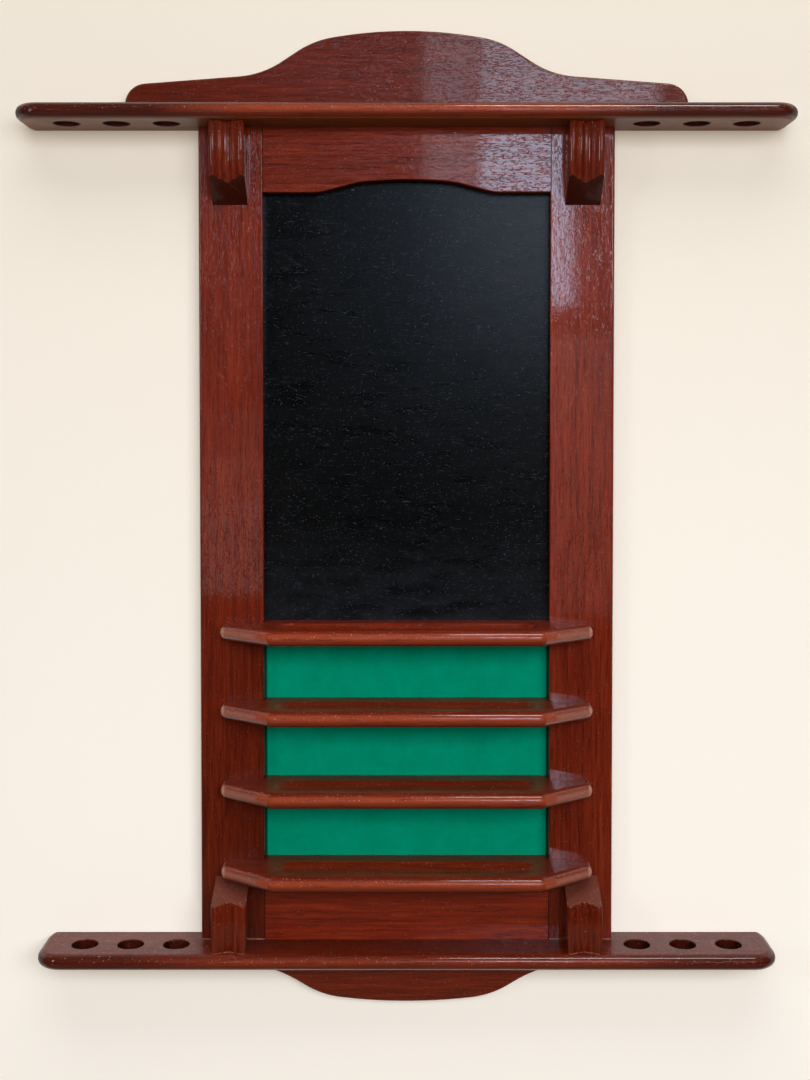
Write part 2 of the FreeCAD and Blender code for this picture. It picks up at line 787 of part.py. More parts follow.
def hanger_plate(side):
    """Steel plate with a keyhole that opens at its lower end."""
    x = side * stile_centre_x
    plate = upright_board(hanger_outline(x, 0), 0, hanger_thickness)
    through = hanger_thickness + 2 * cut_overrun
    entry_start = Vector(x, cut_overrun, 0)
    slot_half = keyhole_slot_width / 2
    entry = Part.makeCylinder(keyhole_entry_diameter / 2, through, entry_start, FORWARD)
    slot_end = Part.makeCylinder(slot_half, through, entry_start + UP * keyhole_slot_length, FORWARD)
    slot = block((x - slot_half, x + slot_half), (-cut_overrun, hanger_thickness + cut_overrun),
                 (0, keyhole_slot_length))
    return plate.cut([entry, slot_end, slot])


# Assembly

def build():
    """All nodes of the rack by name."""
    nodes = {
        "left_stile": stile(-1),
        "right_stile": stile(1),
        "head_rail": head_rail(),
        "foot_rail": foot_rail(),
        "upper_cue_rail": upper_cue_rail(),
        "lower_cue_rail": lower_cue_rail(),
        "crest_board": crest_board(),
        "apron_board": apron_board(),
        "upper_left_corbel": upper_corbel(-1),
        "upper_right_corbel": upper_corbel(1),
        "lower_left_corbel": lower_corbel(-1),
        "lower_right_corbel": lower_corbel(1),
        "blackboard_panel": blackboard_panel(),
        "baize_board": baize_board(),
        "baize_cloth": baize_cloth(),
        "left_hanger_plate": hanger_plate(-1),
        "right_hanger_plate": hanger_plate(1),
    }
    for number, top in enumerate(shelf_tops, start=1):
        nodes["ball_shelf_%d" % number] = ball_shelf(top)
    bores = all_bores()
    nodes = {name: cut_all(shape, bores) for name, shape in nodes.items()}
    for name, (size, places) in SCREWS.items():
        screw = wood_screw(size)
        nodes[name] = Part.makeCompound([driven(screw, *place) for place in places])
    for name, places in DOWELS.items():
        nodes[name] = Part.makeCompound([dowel(*place) for place in places])
    return nodes


for name, shape in build().items():
    state = "valid" if shape.isValid() else "INVALID"
    print("%s: %d solids, %.0f mm3, %s" % (name, len(shape.Solids), shape.Volume, state))
    shape.exportStep("parts/" + name + ".step")
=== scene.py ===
"""Looks of a wall rack for billiard cues and balls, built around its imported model."""

import json
import logging
import math
from dataclasses import dataclass, field
from enum import Enum
from functools import cached_property
from typing import Any, Iterable, Mapping, Sequence

import bpy
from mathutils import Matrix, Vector, noise

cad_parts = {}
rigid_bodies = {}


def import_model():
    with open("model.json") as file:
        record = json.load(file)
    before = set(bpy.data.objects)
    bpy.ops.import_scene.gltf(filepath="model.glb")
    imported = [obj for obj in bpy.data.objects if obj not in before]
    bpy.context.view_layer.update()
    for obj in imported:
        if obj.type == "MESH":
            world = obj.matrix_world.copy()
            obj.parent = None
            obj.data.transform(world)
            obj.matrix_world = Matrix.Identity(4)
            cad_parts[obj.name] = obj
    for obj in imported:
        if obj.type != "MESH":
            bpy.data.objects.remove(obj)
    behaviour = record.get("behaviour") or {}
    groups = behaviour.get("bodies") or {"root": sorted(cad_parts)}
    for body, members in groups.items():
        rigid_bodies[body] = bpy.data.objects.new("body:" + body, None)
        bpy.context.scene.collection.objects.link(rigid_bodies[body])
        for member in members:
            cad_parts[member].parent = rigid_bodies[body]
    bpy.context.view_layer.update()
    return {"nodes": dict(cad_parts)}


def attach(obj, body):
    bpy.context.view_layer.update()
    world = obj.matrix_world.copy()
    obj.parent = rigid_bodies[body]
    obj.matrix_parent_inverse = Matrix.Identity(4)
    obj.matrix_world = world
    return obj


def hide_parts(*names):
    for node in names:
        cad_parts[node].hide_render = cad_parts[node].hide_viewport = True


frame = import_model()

LOG = logging.getLogger("rack")
BODY = "root"
MM = 0.001
SHELF_TOPS = (-562.3, -658.3, -755.5, -855.6)

Point = tuple[float, float, float]
Colour = tuple[float, float, float, float]
Socket = bpy.types.NodeSocket
Material = bpy.types.Material
Piece = bpy.types.Object


def srgb(red: float, green: float, blue: float) -> Colour:
    """Linear colour that shaders use for one that shows on a screen as 0 to 255."""
    shares = [value / 255 for value in (red, green, blue)]
    return (*[share / 12.92 if share <= 0.04045 else ((share + 0.055) / 1.055) ** 2.4
              for share in shares], 1.0)


class Grain(Enum):
    """Which way a board's grain runs, as the stretch of its pattern in X, Y and Z."""

    UPRIGHT = (1.0, 1.0, 0.045)
    LEVEL = (0.045, 1.0, 1.0)

    @property
    def run(self) -> str:
        """The axis that the grain runs along."""
        return "XYZ"[self.value.index(min(self.value))]


class Wiring:
    """Adds and joins the nodes of one node tree."""

    def __init__(self, tree: bpy.types.NodeTree) -> None:
        """Keep the tree that the nodes go into."""
        self.tree = tree

    def feed(self, socket: Socket, value: Any) -> None:
        """Link a socket to another, or set its own value.

        Args:
            socket: The input to feed.
            value: Another node's output, or a plain value.
        """
        if isinstance(value, Socket):
            self.tree.links.new(value, socket)
        else:
            socket.default_value = value

    def add(self, kind: str, inputs: Mapping[Any, Any] | None = None,
            **settings: Any) -> bpy.types.Node:
        """Add a node.

        Args:
            kind: The node's type name.
            inputs: Values or outputs by the input's name or number.
            **settings: Properties of the node itself.

        Returns:
            The new node.
        """
        node = self.tree.nodes.new(kind)
        for name, value in settings.items():
            setattr(node, name, value)
        for key, value in (inputs or {}).items():
            self.feed(node.inputs[key], value)
        return node

    def calc(self, operation: str, first: Any, second: Any = 0.0) -> Socket:
        """Output of a Math node."""
        return self.add("ShaderNodeMath", {0: first, 1: second}, operation=operation).outputs[0]

    def times(self, first: Any, *others: Any) -> Any:
        """Product of its factors, from the first on."""
        for other in others:
            first = self.calc("MULTIPLY", first, other)
        return first

    def plus(self, first: Any, second: Any) -> Socket:
        """Sum of two values."""
        return self.calc("ADD", first, second)

    def less(self, first: Any, second: Any) -> Socket:
        """First value less the second."""
        return self.calc("SUBTRACT", first, second)

    def parts(self, vector: Socket) -> Mapping[str, Any]:
        """X, Y and Z of a vector by their names."""
        return self.add("ShaderNodeSeparateXYZ", {0: vector}).outputs

    def levels(self, value: Any, low: Any, high: Any, to_low: Any = 0.0,
               to_high: Any = 1.0) -> Socket:
        """Stretch of a value from one range to another, held at its ends."""
        return self.add("ShaderNodeMapRange", {
            "Value": value, "From Min": low, "From Max": high, "To Min": to_low,
            "To Max": to_high}).outputs[0]


@dataclass(frozen=True)
class Pattern:
    """Sizes of a smooth random pattern.

    scale is its features per metre, detail the number of finer layers, rough their strength,
    and twist how far it is distorted.
    """

    scale: float
    detail: float = 2.0
    rough: float = 0.5
    twist: float = 0.0


class Coating(Wiring):
    """One material's nodes, with the steps that the finishes share."""

    def __init__(self, name: str) -> None:
        """Start an empty material.

        Args:
            name: The material's name.
        """
        self.material = bpy.data.materials.new(name)
        self.material.use_nodes = True
        super().__init__(self.material.node_tree)
        self.tree.nodes.clear()
        self.place = self.add("ShaderNodeTexCoord").outputs["Object"]

    @cached_property
    def facing(self) -> Mapping[str, Any]:
        """X, Y and Z of the way that a face looks."""
        return self.parts(self.add("ShaderNodeNewGeometry").outputs["Normal"])

    def mapped(self, scale: Sequence[float], shift: Point = (0, 0, 0)) -> Socket:
        """Object coordinates, stretched and shifted."""
        return self.add("ShaderNodeMapping", {
            "Vector": self.place, "Location": shift, "Scale": scale}).outputs[0]

    def noise(self, pattern: Pattern, at: Socket | None = None) -> Socket:
        """Value of a pattern, from about 0 to 1, at the plain coordinates or given ones."""
        return self.add("ShaderNodeTexNoise", {
            "Vector": self.place if at is None else at, "Scale": pattern.scale,
            "Detail": pattern.detail, "Roughness": pattern.rough,
            "Distortion": pattern.twist}).outputs["Fac"]

    def ramp(self, value: Any, stops: Sequence[tuple[float, Colour]]) -> Socket:
        """Colours along a value.

        Args:
            value: What picks the colour.
            stops: Position and colour of each stop, from low to high.

        Returns:
            The colour.
        """
        node = self.add("ShaderNodeValToRGB", {0: value})
        elements = node.color_ramp.elements
        while len(elements) < len(stops):
            elements.new(1.0)
        for element, (position, colour) in zip(elements, stops):
            element.position = position
            element.color = colour
        return node.outputs[0]

    def mix(self, factor: Any, first: Any, second: Any, blend: str = "MIX") -> Socket:
        """Blend of two colours."""
        node = self.add("ShaderNodeMix", {0: factor, 6: first, 7: second}, data_type="RGBA",
                        blend_type=blend)
        return node.outputs[2]

    def relief(self, height: Any, strength: float, distance: float,
               under: Socket | None = None) -> Socket:
        """Normal of a small relief, on top of another one."""
        inputs = {"Height": height, "Strength": strength, "Distance": distance}
        if under is not None:
            inputs["Normal"] = under
        return self.add("ShaderNodeBump", inputs).outputs[0]

    def axis(self, name: str) -> Socket:
        """One of the object coordinates."""
        return self.parts(self.place)[name]

    def sideways(self) -> Socket:
        """Distance from the rack's middle plane."""
        return self.calc("ABSOLUTE", self.axis("X"))

    def away(self, value: Any, middle: float) -> Socket:
        """Distance of a value from a middle one."""
        return self.calc("ABSOLUTE", self.less(value, middle))

    def blend(self, first: tuple[Any, float], *others: tuple[Any, float]) -> Socket:
        """Sum of patterns, each times its share."""
        total = self.times(*first)
        for other in others:
            total = self.plus(total, self.times(*other))
        return total

    def finish(self, inputs: Mapping[str, Any], clear_behind: bool = False) -> Material:
        """Close the material with its surface shader.

        Args:
            inputs: Values and outputs by the shader's input names.
            clear_behind: Whether the surface is see-through from behind.

        Returns:
            The finished material.
        """
        shader = self.add("ShaderNodeBsdfPrincipled", inputs).outputs[0]
        if clear_behind:
            behind = self.add("ShaderNodeNewGeometry").outputs["Backfacing"]
            clear = self.add("ShaderNodeBsdfTransparent").outputs[0]
            shader = self.add("ShaderNodeMixShader", {0: behind, 1: shader, 2: clear}).outputs[0]
        self.add("ShaderNodeOutputMaterial", {"Surface": shader})
        return self.material


@dataclass(frozen=True)
class Nose:
    """The rounded front edge of a board: a painted highlight in the middle, and painted shade at
    its ends.
    """

    from_depth: float
    strength: float
    half_length: float
    end_shade_strength: float = 0.0
    # The first colour is the painted highlight on the nose, the second the painted shade at its
    # ends.
    colour: Colour = srgb(152, 62, 30)
    outer: Colour = srgb(36, 9, 5)


@dataclass(frozen=True)
class LacqueredWood:
    """Glossy red-brown lacquer over open-pored hardwood, for one board."""

    name: str
    grain: Grain
    shift: Point
    tone: float = 1.0
    foot_tone: float | None = None
    dark: Colour = srgb(76, 18, 5)
    middle: Colour = srgb(101, 29, 10)
    light: Colour = srgb(127, 43, 18)
    pore: Colour = srgb(34, 8, 3)
    end: Colour = srgb(46, 12, 5)
    dusty: Colour = srgb(196, 160, 142)
    nose: Nose | None = None
    bores: tuple[float, float] | None = None
    seam: float | None = None
    glued_foot: float | None = None
    glossy_beyond: float = 0.0
    top_gloss: float = 0.24
    underside_gloss: float = 0.24
    underside: Colour | None = None
    tone_fade: tuple[float, float] = (-0.86, -0.40)
    lines: Pattern = Pattern(330.0, 2.0, 0.6)
    stripes: Pattern = Pattern(75.0, 3.0, 0.6, 0.4)
    clouds: Pattern = Pattern(14.0, 1.0)
    pores: Pattern = Pattern(640.0, 2.0, 0.7)
    flecks: Pattern = Pattern(520.0, 1.0)
    foot_line_breaks: Pattern = Pattern(210.0, 2.0, 0.7)
    strokes: Pattern = Pattern(330.0, 2.0, 0.6, 0.8)
    peel: Pattern = Pattern(800.0, 1.0)
    waves: Pattern = Pattern(110.0, 2.0, 0.6)
    wear: Pattern = Pattern(22.0, 3.0, 0.6)

    def timber(self, coat: Coating, along: Socket) -> Socket:
        """Colour of the stained wood before its pores.

        Args:
            coat: The material's nodes.
            along: Coordinates stretched along the grain.

        Returns:
            The colour.
        """
        band = coat.blend((coat.noise(self.lines, along), 0.5),
                          (coat.noise(self.stripes, along), 0.25),
                          (coat.noise(self.clouds, along), 0.25))
        colour = coat.ramp(band, ((0.31, self.dark), (0.50, self.middle), (0.70, self.light)))
        foot_tone = self.tone if self.foot_tone is None else self.foot_tone
        tone = coat.levels(coat.axis("Z"), *self.tone_fade, foot_tone, self.tone)
        shade = coat.add("ShaderNodeCombineColor", {0: tone, 1: tone, 2: tone}).outputs[0]
        return coat.mix(1.0, colour, shade, "MULTIPLY")

    def ends(self, coat: Coating) -> Socket:
        """How far a face is end grain."""
        return coat.levels(coat.calc("ABSOLUTE", coat.facing[self.grain.run]), 0.50, 0.74)

    def edges(self, coat: Coating, colour: Socket) -> Socket:
        """Colour with its end grain, bores (bare wood with painted shade), seams, a painted
        reflection on the underside, and a painted highlight on the nose with painted shade at its
        ends.

        Args:
            coat: The material's nodes.
            colour: The colour of the broad faces.

        Returns:
            The colour.
        """
        darkened = coat.times(self.ends(coat), 0.85)
        colour = coat.mix(darkened, colour, self.end)
        # Inside the bores the colour goes to the pore colour: bare wood, darkened further as
        # painted shade.
        if self.bores is not None:
            near, far = self.bores
            level = coat.calc("ABSOLUTE", coat.facing["Z"])
            shaded_bare_bores = coat.times(coat.levels(coat.axis("Y"), -near, -near - 0.001),
                                coat.levels(coat.axis("Y"), -far, -far + 0.001),
                                coat.levels(level, 0.75, 0.3, 0.0, 0.75))
            colour = coat.mix(shaded_bare_bores, colour, self.pore)
        sideways = coat.sideways()
        if self.seam is not None:
            seam = coat.levels(coat.away(sideways, self.seam), 0.0010, 0.0004, 0.0, 0.8)
            colour = coat.mix(seam, colour, self.pore)
        # Painted reflection: faces that look down take a warm, paler colour for the wall seen in
        # them.
        if self.underside is not None:
            below = coat.levels(coat.facing["Z"], -0.8, -0.95, 0.0, 0.75)
            colour = coat.mix(below, colour, self.underside)
        if self.nose is None:
            return colour
        # Painted highlight: where the nose faces forward and partly up, it goes paler; painted
        # shade darkens it towards its ends.
        upper = coat.levels(coat.facing["Z"], 0.72, 0.5)
        lower = coat.levels(coat.facing["Z"], -0.5, 0.1)
        front = coat.levels(coat.facing["Y"], -0.15, -0.5)
        depth = coat.levels(coat.axis("Y"), -self.nose.from_depth, -self.nose.from_depth - 0.003)
        rounded = coat.times(front, depth)
        middle = coat.levels(sideways, self.nose.half_length + 0.12, self.nose.half_length)
        nose_end_shade = coat.times(rounded, coat.levels(middle, 0.0, 1.0, self.nose.end_shade_strength, 0.0))
        colour = coat.mix(nose_end_shade, colour, self.nose.outer)
        paler = coat.times(upper, lower, rounded, coat.times(middle, self.nose.strength))
        return coat.mix(paler, colour, self.nose.colour)

    def dust(self, coat: Coating, colour: Socket) -> Socket:
        """Colour with flecks of dust and wax, and a broken pale line at its foot.

        Args:
            coat: The material's nodes.
            colour: The clean colour.

        Returns:
            The colour.
        """
        flecks = coat.levels(coat.noise(self.flecks), 0.70, 0.72, 0.0, 0.6)
        upward = coat.levels(coat.facing["Z"], -0.2, 0.3)
        colour = coat.mix(coat.times(flecks, upward), colour, self.dusty)
        if self.glued_foot is None:
            return colour
        away = coat.away(coat.axis("Z"), self.glued_foot)
        line = coat.levels(away, 0.0010, 0.0006, 0.0, 0.75)
        broken = coat.levels(coat.noise(self.foot_line_breaks), 0.42, 0.54)
        return coat.mix(coat.times(line, broken), colour, self.dusty)

    def gloss(self, coat: Coating) -> Socket:
        """Weight of the clear coat, which is worn on level faces and thin on end grain."""
        top = coat.levels(coat.facing["Z"], 0.75, 0.95, 1.0, self.top_gloss)
        if self.glossy_beyond:
            kept = coat.levels(coat.sideways(), self.glossy_beyond, self.glossy_beyond + 0.004)
            top = coat.calc("MAXIMUM", top, kept)
        under = coat.levels(coat.facing["Z"], -0.75, -0.95, 1.0, self.underside_gloss)
        cut = coat.less(1.0, coat.times(self.ends(coat), 0.8))
        return coat.times(top, under, cut)

    def build(self) -> Material:
        """Make the material."""
        coat = Coating(self.name)
        along = coat.mapped(self.grain.value, self.shift)
        colour = self.edges(coat, self.timber(coat, along))
        pores = coat.levels(coat.noise(self.pores, along), 0.57, 0.68)
        colour = coat.mix(coat.times(pores, 0.5), colour, self.pore)
        colour = self.dust(coat, colour)
        normal = coat.relief(pores, 0.5, -0.0005)
        stretch = [min(1.0, run * 5.0) for run in self.grain.value]
        strokes = coat.away(coat.noise(self.strokes, coat.mapped(stretch, self.shift)), 0.5)
        flat = coat.levels(coat.facing["Y"], -0.92, -0.98, 0.06, 1.0)
        skin = coat.relief(coat.times(coat.levels(strokes, 0.0, 0.035), flat), 0.19, 0.0004)
        skin = coat.relief(coat.noise(self.peel), 0.025, 0.0004, skin)
        skin = coat.relief(coat.noise(self.waves), 0.03, 0.0010, skin)
        rough = coat.levels(coat.noise(self.wear), 0.35, 0.7, 0.32, 0.45)
        return coat.finish({
            "Base Color": colour, "Roughness": rough, "Normal": normal, "IOR": 1.5,
            "Specular IOR Level": 0.16, "Coat Weight": self.gloss(coat),
            "Coat Roughness": 0.035, "Coat Normal": skin})


@dataclass(frozen=True)
class BlackboardPaint:
    """Satin black writing paint with specks of dust and old smears, and a painted bluish reflection
    of glare towards one corner.
    """

    name: str = "blackboard_paint_worn"
    paint: Colour = srgb(2, 2, 2)
    dust: Colour = srgb(150, 160, 182)
    specks: Pattern = Pattern(900.0, 1.0)
    wiped: Pattern = Pattern(6.0, 5.0, 0.6, 0.2)
    scratches: Pattern = Pattern(900.0, 1.0)
    peel: Pattern = Pattern(420.0, 3.0, 0.6)

    def build(self) -> Material:
        """Make the material."""
        coat = Coating(self.name)
        # Painted reflection: a bluish glare towards the upper right corner, in the dust colour,
        # added to a haze along the bottom.
        glare_corner = coat.times(coat.levels(coat.axis("X"), 0.0, 0.17, 0.0, 0.04),
                            coat.levels(coat.axis("Z"), -0.30, -0.05))
        glare_and_low_haze = coat.plus(glare_corner, coat.levels(coat.axis("Z"), -0.44, -0.56, 0.0, 0.018))
        specks = coat.levels(coat.noise(self.specks), 0.735, 0.76)
        wiped = coat.noise(self.wiped, coat.mapped((3.0, 1.0, 9.0)))
        smears_and_glare = coat.times(glare_and_low_haze, coat.levels(wiped, 0.3, 0.7, 0.3, 1.7))
        scratched = coat.noise(self.scratches, coat.mapped((0.12, 1.0, 1.0)))
        scratches = coat.levels(scratched, 0.70, 0.73, 0.0, 0.07)
        dust = coat.plus(coat.times(specks, 0.5), coat.plus(smears_and_glare, scratches))
        colour = coat.mix(dust, self.paint, self.dust)
        normal = coat.relief(coat.noise(self.peel), 0.12, 0.0006)
        rough = coat.levels(wiped, 0.3, 0.7, 0.24, 0.34)
        return coat.finish({"Base Color": colour, "Roughness": rough, "Normal": normal, "IOR": 1.45,
                            "Specular IOR Level": 0.26})


@dataclass(frozen=True)
class Baize:
    """Napped green wool cloth."""

    name: str = "green_baize_nap"
    deep: Colour = srgb(0, 136, 105)
    fresh: Colour = srgb(0, 161, 127)
    # The dark colour below is painted shade where the stiles' reveals shade the cloth.
    reveal_shade: Colour = srgb(4, 34, 24)
    reveal_shade_from: float = 0.1722
    clouds: Pattern = Pattern(38.0, 4.0, 0.7)
    nap: Pattern = Pattern(1400.0, 3.0, 0.8)

    def build(self) -> Material:
        """Make the material."""
        coat = Coating(self.name)
        nap = coat.noise(self.nap, coat.mapped((1.0, 1.0, 0.5)))
        wool = coat.blend((coat.noise(self.clouds), 0.5), (nap, 0.5))
        colour = coat.ramp(wool, ((0.3, self.deep), (0.7, self.fresh)))
        # Painted shade: the cloth goes dark near the stiles.
        reveal_shade = coat.levels(coat.sideways(), self.reveal_shade_from, self.reveal_shade_from + 0.0015, 0.0, 0.85)
        colour = coat.mix(reveal_shade, colour, self.reveal_shade)
        normal = coat.relief(nap, 0.5, 0.0006)
        return coat.finish({
            "Base Color": colour, "Roughness": 0.95, "Normal": normal, "Specular IOR Level": 0.04})


@dataclass(frozen=True)
class PlainBoard:
    """Bare board of pressed fibre, as it shows at the back."""

    name: str = "plain_board_bare"
    dark: Colour = srgb(120, 92, 62)
    light: Colour = srgb(168, 136, 98)
    flecks: Pattern = Pattern(420.0, 4.0, 0.75)
    stains: Pattern = Pattern(9.0, 3.0)

    def build(self) -> Material:
        """Make the material."""
        coat = Coating(self.name)
        flecks = coat.noise(self.flecks)
        fibre = coat.blend((flecks, 0.6), (coat.noise(self.stains), 0.4))
        colour = coat.ramp(fibre, ((0.3, self.dark), (0.7, self.light)))
        normal = coat.relief(flecks, 0.3, 0.0003)
        return coat.finish({"Base Color": colour, "Roughness": 0.8, "Normal": normal})


@dataclass(frozen=True)
class ZincSteel:
    """Zinc-plated steel with a brushed, slightly stained surface."""

    name: str = "zinc_steel_brushed"
    bright: Colour = srgb(198, 200, 196)
    dull: Colour = srgb(150, 148, 138)
    brushed: Pattern = Pattern(2200.0, 2.0)
    stains: Pattern = Pattern(160.0, 4.0, 0.7)

    def build(self) -> Material:
        """Make the material."""
        coat = Coating(self.name)
        brushed = coat.noise(self.brushed, coat.mapped((1.0, 1.0, 0.06)))
        stains = coat.noise(self.stains)
        colour = coat.ramp(stains, ((0.35, self.bright), (0.7, self.dull)))
        rough = coat.levels(stains, 0.3, 0.7, 0.28, 0.5)
        normal = coat.relief(brushed, 0.15, 0.0001)
        return coat.finish({
            "Base Color": colour, "Metallic": 1.0, "Roughness": rough, "Normal": normal})


@dataclass(frozen=True)
class BeechDowel:
    """Pale close-grained dowel wood."""

    name: str = "beech_dowel_plain"
    dark: Colour = srgb(172, 132, 92)
    light: Colour = srgb(214, 178, 136)
    flecks: Pattern = Pattern(700.0, 3.0, 0.6)

    def build(self) -> Material:
        """Make the material."""
        coat = Coating(self.name)
        flecks = coat.noise(self.flecks, coat.mapped((1.0, 1.0, 0.2)))
        colour = coat.ramp(flecks, ((0.35, self.dark), (0.65, self.light)))
        normal = coat.relief(flecks, 0.2, 0.0002)
        return coat.finish({"Base Color": colour, "Roughness": 0.6, "Normal": normal})


def piece_from(name: str, points: Iterable[Sequence[float]], faces: Iterable[Sequence[int]],
               finish: Material, smooth: bool = True) -> Piece:
    """Make an object at the origin from points in the rack's frame.

    Args:
        name: The piece's name.
        points: Places in metres.
        faces: Corner numbers of each face, anticlockwise from outside.
        finish: Its material.
        smooth: Whether its faces are shaded smooth.

    Returns:
        The new object.
    """
    mesh = bpy.data.meshes.new(name)
    mesh.from_pydata([tuple(p) for p in points], [], [tuple(f) for f in faces])
    mesh.validate()
    mesh.polygons.foreach_set("use_smooth", [smooth] * len(mesh.polygons))
    mesh.materials.append(finish)
    piece = bpy.data.objects.new(name, mesh)
    bpy.context.scene.collection.objects.link(piece)
    return piece


def settle(piece: Piece, stands_for: str) -> None:
    """Join a finished piece to the frame and report it.

    Args:
        piece: The finished piece.
        stands_for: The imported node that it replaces.
    """
    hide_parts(stands_for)
    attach(piece, BODY)
    LOG.info("%s: %d faces", piece.name, len(piece.data.polygons))


@dataclass
class WoodenBoards:
    """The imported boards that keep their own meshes, each cut from another part of the log."""

    names: Sequence[str] = (
        "left_stile", "right_stile", "head_rail", "foot_rail", "upper_cue_rail", "lower_cue_rail",
        "crest_board", "apron_board", "ball_shelf_1", "ball_shelf_2", "ball_shelf_3",
        "ball_shelf_4")
    frame_foot: float = -0.955
    opening_edge: float = 0.175
    bores: tuple[float, float] = (0.0225, 0.0595)
    rail_nose: Nose = Nose(0.062, 0.75, 0.18, 0.65)
    low_rail_nose: Nose = Nose(0.062, 0.25, 0.22, 0.5)
    shelf_nose: Nose = Nose(0.084, 0.85, 0.30)
    # Pale end colour of the shelves: a painted reflection on their ends and ears.
    shelf_end_reflection: Colour = srgb(198, 136, 118)
    # Warm colour for the rails' undersides, a painted reflection of the wall.
    rail_underside: Colour = srgb(150, 88, 44)
    tones: Mapping[str, float] = field(default_factory=lambda: {
        "left_stile": 1.17, "right_stile": 1.22, "head_rail": 1.15, "foot_rail": 1.6,
        "crest_board": 0.76, "apron_board": 1.05})
    foot_tones: Mapping[str, float] = field(default_factory=lambda: {
        "left_stile": 0.72, "right_stile": 1.1})

    def traits(self, name: str) -> dict[str, Any]:
        """What sets one board's wood apart from the others'."""
        traits: dict[str, Any] = {"tone": self.tones.get(name, 1.0),
                                  "foot_tone": self.foot_tones.get(name)}
        if "shelf" in name:
            traits.update(tone=1.25, nose=self.shelf_nose, end=self.shelf_end_reflection, top_gloss=0.0,
                          glossy_beyond=self.opening_edge)
        if "cue_rail" in name:
            traits.update(bores=self.bores, underside=self.rail_underside, underside_gloss=0.16,
                          nose=self.rail_nose if "upper" in name else self.low_rail_nose)
        if name in ("head_rail", "foot_rail"):
            traits.update(seam=self.opening_edge)
        if "stile" in name:
            traits.update(glued_foot=self.frame_foot)
        return traits

    def dress(self) -> None:
        """Give each board its own cut of the lacquered wood."""
        for number, name in enumerate(self.names, start=1):
            grain = Grain.UPRIGHT if "stile" in name else Grain.LEVEL
            wood = LacqueredWood("lacquer_" + name, grain, cut_of_log(number), **self.traits(name))
            carry(name, wood.build())


def cut_of_log(number: int) -> Point:
    """Shift of the wood's pattern for one board of the log."""
    return (0.37 * number, 0.53 * number, 0.71 * number)


def carry(name: str, finish: Material) -> None:
    """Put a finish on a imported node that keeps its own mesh."""
    piece = frame["nodes"][name]
    for place in piece.material_slots:
        place.material = finish
    LOG.info("%s keeps its mesh", name)


class Recipe(Wiring):
    """A Geometry Nodes tree with named inputs, which grows a piece from a small seed mesh."""

    def __init__(self, name: str, inputs: Mapping[str, str]) -> None:
        """Start a tree.

        Args:
            name: The tree's name.
            inputs: Socket type of each input by its name.
        """
        super().__init__(bpy.data.node_groups.new(name, "GeometryNodeTree"))
        face = self.tree.interface
        face.new_socket("Geometry", in_out="INPUT", socket_type="NodeSocketGeometry")
        face.new_socket("Geometry", in_out="OUTPUT", socket_type="NodeSocketGeometry")
        for label, kind in inputs.items():
            face.new_socket(label, in_out="INPUT", socket_type=kind)
        face.new_socket("Finish", in_out="INPUT", socket_type="NodeSocketMaterial")
        self.given = self.tree.nodes.new("NodeGroupInput").outputs

    def tools(self) -> tuple[Any, ...]:
        """The steps of a sum under short names."""
        return self.calc, self.times, self.plus, self.less

    def read(self, *labels: str) -> list[Socket]:
        """Outputs of some of the named inputs."""
        return [self.given[label] for label in labels]

    def vector(self, x: Any = 0.0, y: Any = 0.0, z: Any = 0.0) -> Socket:
        """Vector from three values."""
        return self.add("ShaderNodeCombineXYZ", {0: x, 1: y, 2: z}).outputs[0]

    def block(self, size: Any, middle: Any, turn: Any = (0.0, 0.0, 0.0)) -> Socket:
        """Box of a size, turned about its middle and moved to a place."""
        cube = self.add("GeometryNodeMeshCube", {"Size": size}).outputs["Mesh"]
        return self.moved(cube, middle, turn)

    def moved(self, mesh: Socket, middle: Any, turn: Any) -> Socket:
        """Mesh turned and then moved."""
        return self.add("GeometryNodeTransform", {
            "Geometry": mesh, "Translation": middle, "Rotation": turn}).outputs[0]

    def point(self) -> Mapping[str, Any]:
        """X, Y and Z of each point of the mesh."""
        return self.parts(self.add("GeometryNodeInputPosition").outputs[0])

    def carved(self, body: Socket,
               cutters: Sequence[Socket]) -> Socket:
        """Mesh less every cutter."""
        node = self.add("GeometryNodeMeshBoolean", operation="DIFFERENCE", solver="EXACT")
        self.feed(node.inputs["Mesh 1"], body)
        for cutter in cutters:
            self.feed(node.inputs["Mesh 2"], cutter)
        return node.outputs["Mesh"]

    def placed(self, mesh: Socket, position: Any) -> Socket:
        """Mesh with every point moved to a worked-out position."""
        return self.add("GeometryNodeSetPosition", {
            "Geometry": mesh, "Position": position}).outputs[0]

    def close(self, geometry: Socket) -> None:
        """End the tree with real geometry in its finish."""
        real = self.add("GeometryNodeRealizeInstances", {0: geometry}).outputs[0]
        dressed = self.add("GeometryNodeSetMaterial", {
            "Geometry": real, "Material": self.given["Finish"]}).outputs[0]
        self.feed(self.tree.nodes.new("NodeGroupOutput").inputs[0], dressed)

    def grow(self, piece: Piece, values: Mapping[str, Any]) -> None:
        """Run the tree on a piece and keep the result as its plain mesh.

        Args:
            piece: The object that holds the seed mesh.
            values: Value of each input by its name.
        """
        modifier = piece.modifiers.new("growth", "NODES")
        modifier.node_group = self.tree
        for item in self.tree.interface.items_tree:
            if item.item_type == "SOCKET" and item.in_out == "INPUT" and item.name in values:
                modifier[item.identifier] = values[item.name]
        bake(piece)


def bake(piece: Piece) -> None:
    """Replace a piece's mesh by what its modifiers make of it, and remove them."""
    graph = bpy.context.evaluated_depsgraph_get()
    grown = bpy.data.meshes.new_from_object(piece.evaluated_get(graph), depsgraph=graph)
    piece.modifiers.clear()
    piece.data = grown
    grown.name = piece.name


